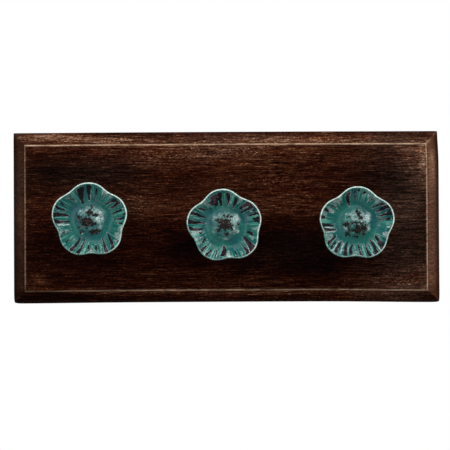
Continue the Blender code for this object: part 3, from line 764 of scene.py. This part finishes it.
def boss_shape(side, x, z):
    """Bumps, marks, and milky places with painted highlights, of the boss, for points in millimetres from its
    middle.
    """
    rng = np.random.default_rng(SIDES.index(side) + 51)
    height = np.zeros_like(x)
    for _ in range(BOSS_BUMPS):
        far, turn, size = 8.0 * sqrt(rng.uniform()), rng.uniform(0, 2 * pi), rng.uniform(0.5, 1.1)
        dome = bell(x - far * cos(turn), size) * bell(z - far * sin(turn), size)
        height += rng.uniform(-0.3, 0.5) * dome
    wobble = 0.35 * np.sin(2.3 * z + 1.1 * x), 0.35 * np.sin(2.6 * x - 1.3 * z + 1)
    marks = spots(x + wobble[0], z + wobble[1], BOSS_MARKS[side])
    inside = 1 - ease(np.hypot(x, z), 6.2, 9.0)
    return (height - MARK_DEPTH * marks) * inside, marks, spots(x, z, BOSS_MILK_AND_HIGHLIGHTS[side])


def flower_section():
    """The flower's section as (radius, height) points, and which of them is the last of its face."""
    face = smooth_through(FACE, FACE_STEPS)
    back = smooth_through(BACK, BACK_STEPS)[1:]
    return np.vstack([face, back, SOCKET]), len(face) - 1


def flower_knob(side, material):
    """A flower with its own origin on the knob's axis, at the end of its stem."""
    node, seed = f"flower_knob_{side}", SIDES.index(side)
    section, rim = flower_section()
    radius, turn = np.meshgrid(section[:, 0], np.arange(AROUND) * 2 * pi / AROUND, indexing="ij")
    row = np.arange(len(section))[:, None]
    is_face = row <= rim

    lobes, share = wave(turn, side), ease(radius, LOBE_START, LOBE_FULL)
    _, amount, longest, size = FLOWERS[side]
    oval = (1 + amount * np.cos(2 * (turn - radians(longest))) * share) * (1 - (1 - size) * share)
    grown = radius * (1 + LOBE_DEPTH * lobes * share) * oval
    x, z = grown * np.cos(turn), grown * np.sin(turn)

    streak = is_face * streak_cover(side, turn, radius / RIM_RADIUS)
    fold = ease(-lobes, 0.6, 1.15) * ease(radius, 14, 19.5)
    bumps, marks, milk_and_highlight = boss_shape(side, x, z)
    flare = ease(radius, 12, 20) * ripple(turn, seed + 3, (2 * pi / 2, 0.25), (2 * pi / 7, 0.12))
    ribs = ease(radius, 10.5, 14) * ripple(turn, seed + 71, (2 * pi / 37, 0.06), (2 * pi / 61, 0.05))
    height = section[:, 1:2] - SCOOP_DEPTH * lobes * share + flare
    height -= GROOVE_DEPTH * streak * (1 - ease(radius, 19.2, 20.0))
    height += is_face * (FOLD_RISE * fold + ribs + bumps)

    lip = bell(row - rim - 1, 3.2)
    # Painted highlight: the rim's pale glaze line is painted brighter towards the upper right, where the
    # light falls
    rim_highlight = ease(np.cos(turn - radians(60)), -0.75, 0.0)
    pale = np.clip(lip * (0.48 + 0.56 * rim_highlight) + 0.4 * fold * is_face, 0, 1)
    # A milky haze over the boss, painted brighter towards the upper right as a painted highlight
    milky_haze_and_highlight = (0.3 + 0.16 * np.cos(turn - radians(50))) * (1 - ease(radius, 6.6, 9.6))
    painted = {
        "paint": np.stack([streak, pale, is_face * np.maximum(milk_and_highlight, milky_haze_and_highlight)], axis=-1),
        "marks": is_face * marks,
        "petal": ease(radius, 12.0, 17.0),
        "frost_and_highlight": is_face * streak_lines(FROST_AND_HIGHLIGHTS[side], seed + 41, turn, radius / RIM_RADIUS),
    }

    place = on_axis(f"knob_stud_{side}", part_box(node)[1].y)
    mesh = rings_mesh(node, np.stack([x, -height, z], axis=-1) * MM, painted=painted)
    piece = make_piece(f"{node}_glazed", mesh, material, node, 60)
    piece.location = place
    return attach(piece, "root")


# -------- board


def moulding_profile():
    """Distances in from the side, and heights, up the ovolo and over the arris, in millimetres."""
    turn = np.linspace(0, pi / 2, OVOLO_POINTS)
    inwards, down = OVOLO_RADIUS * (1 - np.cos(turn)), OVOLO_RADIUS * (1 - np.sin(turn))
    return np.vstack([np.stack([inwards, OVOLO_TOP - down], axis=1), ARRIS_SECTION])


def spread_columns(length, inset, steps):
    """Grid lines along one direction: close in both mouldings, even in the field."""
    field = np.linspace(inset[-1], length - inset[-1], steps + 1)
    return np.concatenate([inset[:-1], field, (length - inset[:-1])[::-1]])


def patches(x, z, table):
    """The sum of a table's soft patches at each point."""
    return sum(amount / 100 * bell(x - px, w) * bell(z - pz, h) for px, pz, w, h, amount in table)


def by_side(table, nearest):
    """A table's value for the nearest side at each point, or the mean of two on a mitre."""
    return sum(table[side] * near for side, near in nearest.items()) / sum(nearest.values())


def board_paint(x, z, gaps, inset):
    """The front's (tone, wear, bare edge), how grey it is, and how calm its grain is."""
    nearest = {side: gap <= inset + 1e-6 for side, gap in gaps.items()}
    in_field = ease(inset, 7.9, 8.4)
    across = {side: np.interp(inset, MOULDING_ACROSS, tones) for side, tones in MOULDING_TONE.items()}
    mitre = bell(gaps["right"] - gaps["top"], 0.8) * (gaps["right"] < ARRIS_AT)
    moulding = by_side(across, nearest) + patches(x, z, MOULDING_PATCHES) + MITRE_LIGHT * mitre
    tone = moulding * (1 - in_field) + (FIELD_TONE + patches(x, z, STAIN_AND_SHADOW_PATCHES)) * in_field
    # Settled stain and painted shade in the crease at the ovolo's foot
    tone -= FOOT_STAIN_AND_SHADE * bell(inset - FOOT_AT, FOOT_WIDTH)
    worn = patches(x, z, WORN_PATCHES) * in_field + by_side(MOULDING_WORN, nearest) * (1 - in_field)
    bare = np.clip(by_side(ARRIS_STRENGTH, nearest) + patches(x, z, ARRIS_PATCHES), 0, 1)
    arris = bare * bell(inset - ARRIS_LINE, ARRIS_WIDTH)
    grey = np.clip(patches(x, z, GREY_PATCHES), 0, 1)
    calm = by_side(MOULDING_CALM, nearest) * (1 - in_field)
    return np.stack([tone, np.clip(worn, 0, 1), arris], axis=-1), grey, calm


def board_front(width, height):
    """The front as a grid: points from the board's centre, with their height over the back, and its paint."""
    profile = moulding_profile()
    xs = spread_columns(width, profile[:, 0], FIELD_STEPS[0])
    zs = spread_columns(height, profile[:, 0], FIELD_STEPS[1])
    x, z = np.meshgrid(xs, zs, indexing="ij")
    gaps = {"left": x, "right": width - x, "bottom": z, "top": height - z}
    inset = np.minimum.reduce(list(gaps.values()))
    x, z = x - width / 2, z - height / 2
    dents = ripple(x + 0.7 * z, 5, (37, 0.05), (17, 0.04), (6.3, 0.035)) - 0.05
    waves = ripple(x, 8, (90, 1.0), (41, 0.6)) * 0.03
    rise = np.interp(inset, profile[:, 0], profile[:, 1])
    rise += bell(inset - ARRIS_AT, 0.7) * dents + waves * ease(inset, 8, 20)
    painted = board_paint(x, z, gaps, inset)
    drift = {side: shift * bell(gaps[side] - ARRIS_LINE, 3) for side, shift in ARRIS_SHIFT.items()}
    x, z = place_corners(x - drift["left"], z - drift["bottom"] + drift["top"], width, height)
    return np.stack([x, rise, z], axis=-1), painted


def place_corners(x, z, width, height):
    """Draws each corner in by its own wear, and moves it by its drift."""
    for right, up, worn, sideways, side_reach, upwards, edge_reach in CORNERS:
        near_x, near_z = width / 2 - right * x, height / 2 - up * z
        pull = worn * np.exp(-((near_x + near_z) / CORNER_REACH))
        x = x + sideways * bell(near_z, side_reach) * bell(near_x, DRIFT_FADE[0]) - right * pull
        z = z + upwards * bell(near_x, edge_reach) * bell(near_z, DRIFT_FADE[1]) - up * pull
    return x, z


def board_mesh(name, width, height):
    """The whole board: the front grid, its sides, and one back face, before its holes are cut."""
    front, (paint, grey, calm) = board_front(width, height)
    columns, rows = front.shape[:2]
    index = np.arange(columns * rows).reshape(columns, rows)
    faces = []
    for i in range(columns - 1):
        for j in range(rows - 1):
            cell = index[i, j], index[i + 1, j], index[i + 1, j + 1], index[i, j + 1]
            faces.extend(split_on_mitre(cell, i, j, columns - 2 - i, rows - 2 - j))

    rim = np.concatenate([index[:, 0], index[-1, 1:], index[-2::-1, -1], index[0, -2:0:-1]])
    source = np.concatenate([index.ravel(), *[rim] * len(SIDE_HEIGHTS)])
    points = front.reshape(-1, 3)[source]
    edge = rim
    for level, start in zip(SIDE_HEIGHTS[::-1], range(index.size, len(points), len(rim))):
        lower = np.arange(start, start + len(rim))
        points[lower, 1] = level
        faces.extend(zip(edge, np.roll(edge, -1), np.roll(lower, -1), lower))
        edge = lower
    faces.append(edge[::-1])

    mesh = new_mesh(name, points * MM * (1, -1, 1), faces)
    paint = paint.reshape(-1, 3)[source]
    paint[index.size :] = SIDE_PAINT
    paint[edge, 2] = BACK_BARE
    paint_points(mesh, "paint", paint)
    paint_points(mesh, "grey", grey.reshape(-1, 1)[source])
    paint_points(mesh, "calm", calm.reshape(-1, 1)[source])
    face_outwards(mesh, 1e-7)
    return mesh


def split_on_mitre(cell, from_left, from_bottom, from_right, from_top):
    """One grid cell as a quad, or as two triangles that meet on the mitre line in a corner."""
    a, b, c, d = cell
    if from_left == from_bottom < MOULDING_CELLS or from_right == from_top < MOULDING_CELLS:
        return [(a, b, c), (a, c, d)]
    if from_left == from_top < MOULDING_CELLS or from_right == from_bottom < MOULDING_CELLS:
        return [(a, b, d), (b, c, d)]
    return [cell]


def cut(piece, shapes):
    """Cuts (mesh, place) shapes that don't touch each other out of a piece for good."""
    bm = bmesh.new()
    for mesh, place in shapes:
        mesh.transform(Matrix.Translation(place))
        bm.from_mesh(mesh)
    mesh = bpy.data.meshes.new("cutter")
    bm.to_mesh(mesh)
    bm.free()
    cutter = add_object("cutter", mesh)
    modifier = piece.modifiers.new("cut", "BOOLEAN")
    modifier.operation = "DIFFERENCE"
    modifier.solver = "EXACT"
    modifier.object = cutter
    bpy.context.view_layer.update()
    graph = bpy.context.evaluated_depsgraph_get()
    made = bpy.data.meshes.new_from_object(piece.evaluated_get(graph))
    piece.modifiers.clear()
    piece.data = made
    bpy.data.objects.remove(cutter)


def slot_cutter(x, z_low, z_high, radius, depth):
    """A cutter for a round-ended slot along Z, depth deep into the back."""
    turn = np.linspace(0, pi, 17)
    outline = [(x + radius * cos(a), z_high + radius * sin(a)) for a in turn]
    outline += [(x - radius * cos(a), z_low - radius * sin(a)) for a in turn]
    points = [(px, y, pz) for y in (CUTTER_START * MM, -depth) for px, pz in outline]
    near, far = np.split(np.arange(len(points)), 2)
    sides = zip(near, np.roll(near, -1), np.roll(far, -1), far)
    mesh = new_mesh("slot", points, [near, far[::-1], *sides])
    face_outwards(mesh)
    return mesh


def round_hole(name, outline, steps):
    """A cutter for a round hole, from its corners."""
    profile = [(0, CUTTER_START), (outline[0][0], CUTTER_START), *outline, (0, outline[-1][1])]
    return turned(name, np.array(profile) * MM, steps)


def backboard(material):
    """The board, with the same holes as the CAD board."""
    low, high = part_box("backboard")
    mesh = board_mesh("backboard_stained", (high.x - low.x) / MM, (high.z - low.z) / MM)
    mesh.transform(Matrix.Translation(on_axis("backboard")))
    board = make_piece("backboard_stained", mesh, material, "backboard", BOARD_SHARP_FROM)
    holes = [(round_hole("hole", STUD_HOLE, 48), on_axis(f"knob_stud_{side}")) for side in SIDES]
    pockets = []
    for side in ("left", "right"):
        plate_low, plate_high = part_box(f"keyhole_plate_{side}")
        x, half = (plate_low.x + plate_high.x) / 2, (plate_high.x - plate_low.x) / 2
        ends = plate_low.z + half, plate_high.z - half
        recess = slot_cutter(x, *ends, half + RECESS_GAP * MM, RECESS_DEPTH * MM)
        holes.append((recess, (0, 0, 0)))
        pocket = slot_cutter(x, POCKET_LOW * MM, POCKET_HIGH * MM, POCKET_RADIUS * MM, POCKET_DEPTH * MM)
        pockets.append((pocket, (0, 0, 0)))
        for row in ("upper", "lower"):
            pockets.append((round_hole("pilot", PILOT_HOLE, 16), on_axis(f"plate_screw_{side}_{row}")))
    cut(board, holes)
    cut(board, pockets)
    board.data.name = "backboard_stained"
    shade(board.data, BOARD_SHARP_FROM)  # the cuts made new edges
    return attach(board, "root")


# -------- hardware


def knob_base(side, material):
    """A turned ferrule: flange with a bead, a waist, and a cup for the flower's stem."""
    node = f"knob_base_{side}"
    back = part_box(node)[1].y
    mesh = turned(f"{node}_brass", [(r * MM, back - h * MM) for r, h in FERRULE], 96)
    return hardware(mesh, node, material, 35)


def threaded(name, low_y, high_y):
    """A threaded rod along Y with a chamfer at each end."""
    length, pitch = high_y - low_y, THREAD_PITCH * MM
    at = np.linspace(0, length, int(length / pitch * THREAD_LEVELS) + 1)
    y, turn = np.meshgrid(at, np.arange(THREAD_AROUND) * 2 * pi / THREAD_AROUND, indexing="ij")
    groove = np.abs((y / pitch - turn / (2 * pi)) % 1.0 - 0.5) * 2
    chamfer = np.clip(THREAD_CHAMFER * MM - np.minimum(y, length - y), 0, None)
    r = STUD_RADIUS * MM - THREAD_DEPTH * MM * groove - chamfer
    rings = np.stack([r * np.cos(turn), low_y + y, r * np.sin(turn)], axis=-1)
    ends = [np.tile((0.0, end, 0.0), (1, THREAD_AROUND, 1)) for end in (low_y, high_y)]
    return rings_mesh(name, np.vstack([ends[0], rings, ends[1]]))


def knob_stud(side, material):
    node = f"knob_stud_{side}"
    low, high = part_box(node)
    mesh = threaded(f"{node}_threaded", low.y, high.y)
    return hardware(mesh, node, material, 20)


def hardware(mesh, node, material, sharp_from):
    """A piece from a mesh made about the Y axis, moved onto its CAD node's axis."""
    mesh.transform(Matrix.Translation(on_axis(node)))
    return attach(make_piece(mesh.name, mesh, material, node, sharp_from), "root")


def dress_node(node, steel, bevel=0.0):
    """Keeps a steel CAD node, with its finish and, if bevel is given, softly broken edges."""
    piece = bpy.data.objects[node]
    piece.data.materials.clear()
    piece.data.materials.append(steel)
    if bevel:
        edges = piece.modifiers.new("broken_edges", "BEVEL")
        edges.limit_method = "ANGLE"
        edges.angle_limit = radians(35)
        edges.width = bevel * MM
        edges.segments = 2
        edges.harden_normals = False


# -------- stage


def area_light(name, place, aim, size, power, colour):
    light = bpy.data.lights.new(name, "AREA")
    light.shape = "RECTANGLE"
    light.size, light.size_y = size
    light.energy = power
    light.color = colour
    holder = add_object(name, light)
    holder.location = place
    holder.rotation_mode = "QUATERNION"
    holder.rotation_quaternion = (aim - Vector(place)).to_track_quat("-Z", "Y")


def make_world():
    """White where the camera sees it, and a dim even fill for everything else."""
    world = bpy.data.worlds.new("studio")
    bpy.context.scene.world = world
    world.use_nodes = True
    nodes, links = world.node_tree.nodes, world.node_tree.links
    shown = nodes["Background"]
    shown.inputs["Color"].default_value = (1, 1, 1, 1)
    fill = nodes.new("ShaderNodeBackground")
    fill.inputs["Color"].default_value = FILL_LIGHT
    fill.inputs["Strength"].default_value = FILL_STRENGTH
    mix, path = nodes.new("ShaderNodeMixShader"), nodes.new("ShaderNodeLightPath")
    links.new(path.outputs["Is Camera Ray"], mix.inputs[0])
    links.new(fill.outputs[0], mix.inputs[1])
    links.new(shown.outputs[0], mix.inputs[2])
    links.new(mix.outputs[0], nodes["World Output"].inputs["Surface"])


def make_floor(height):
    s = Shader("pale_floor")
    grain = s.noise(40, 3, 0.5)
    mesh = new_mesh("floor", FLOOR_CORNERS, [range(4)])
    mesh.materials.append(s.finish(s.mix(grain, *FLOOR), 0.8))
    floor = add_object("floor", mesh)
    floor.location.z = height


def make_camera(centre):
    """Looks from straight in front and a little below, with the board slightly high in the frame."""
    camera = bpy.data.cameras.new("camera")
    camera.sensor_width = SENSOR_WIDTH
    camera.lens = SENSOR_WIDTH * CAMERA_DISTANCE / FRAME_WIDTH
    holder = add_object("camera", camera)
    aim = centre + Vector((AIM_OFFSET[0], 0, AIM_OFFSET[1]))
    holder.location = aim + Vector((0, -cos(CAMERA_TILT), -sin(CAMERA_TILT))) * CAMERA_DISTANCE
    upright = Matrix.Rotation(pi / 2 + CAMERA_TILT, 3, "X")
    holder.rotation_euler = (Matrix.Rotation(CAMERA_ROLL, 3, "Y") @ upright).to_euler()
    bpy.context.scene.camera = holder


def make_stage():
    bpy.context.scene.view_settings.view_transform = "Standard"
    make_world()
    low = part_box("backboard")[0]
    centre = on_axis("backboard", low.y)
    make_floor(low.z - FLOOR_DROP)
    for name, place, size, power, colour in LIGHTS:
        area_light(name, place, centre, size, power, colour)
    make_camera(centre)


def main():
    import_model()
    wood, brass, steel = stained_wood(), antique_brass(), zinc_steel()
    backboard(wood)
    for seed, side in enumerate(SIDES):
        flower_knob(side, glaze(side, seed))
        knob_base(side, brass)
        knob_stud(side, steel)
        dress_node(f"knob_washer_{side}", steel, WASHER_BEVEL)
        dress_node(f"knob_nut_{side}", steel)
    for side in ("left", "right"):
        dress_node(f"keyhole_plate_{side}", steel, PLATE_BEVEL)
        for row in ("upper", "lower"):
            dress_node(f"plate_screw_{side}_{row}", steel)

    make_stage()


main()
